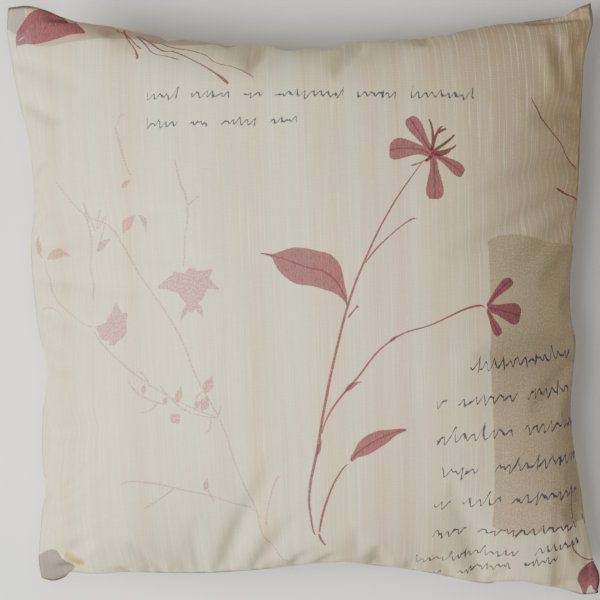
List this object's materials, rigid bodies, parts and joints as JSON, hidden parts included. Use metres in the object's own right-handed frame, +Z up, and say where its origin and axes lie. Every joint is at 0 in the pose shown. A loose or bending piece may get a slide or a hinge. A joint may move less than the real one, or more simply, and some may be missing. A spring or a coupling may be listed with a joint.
{
  "type": "throw pillow",
  "caption": "Square knife-edge throw pillow with pulled-out corners: a printed linen-look cover closed by a coil zip, round a fibre-filled insert.",
  "frame": {"origin": "on the surface it lies on, under the middle of the filled cover's box", "axes": "+Z up, out of the printed face; +Y towards the print's top edge; the zip runs along X in the -Y edge"},
  "size_m": [0.445, 0.445, 0.1271],
  "materials": {
    "cover_fabric": "matte",
    "thread": "matte",
    "label": "satin",
    "zip_tape": "matte",
    "zip_coil": "satin",
    "zip_metal": "satin",
    "insert_casing": "matte",
    "fibre_filling": "matte"
  },
  "bodies": {
    "cover": {"front_panel": "cover_fabric", "back_panel": "cover_fabric", "cover_seam_thread": "thread", "zip_tape_front": "zip_tape", "zip_tape_back": "zip_tape", "zip_coil_front": "zip_coil", "zip_coil_back": "zip_coil", "zip_top_stop_front": "zip_metal", "zip_top_stop_back": "zip_metal", "zip_bottom_stop": "zip_metal", "zip_thread_front": "thread", "zip_thread_back": "thread", "insert_front_casing": "insert_casing", "insert_back_casing": "insert_casing", "insert_seam_thread": "thread", "insert_fill": "fibre_filling", "care_label": "label"},
    "zip_slider": {"zip_slider": "zip_metal"},
    "zip_pull_tab": {"zip_pull_tab": "zip_metal"}
  },
  "joints": [
    {"name": "zip_slider_travel", "type": "slide", "parent": "cover", "child": "zip_slider", "axis": [-1, 0, 0], "range_m": [0, 0.299]},
    {"name": "zip_pull_tab_swing", "type": "hinge", "parent": "zip_slider", "child": "zip_pull_tab", "pos_m": [0.16225, -0.19725, 0.057], "axis": [0, 0, 1], "range_deg": [0, 170]}
  ]
}
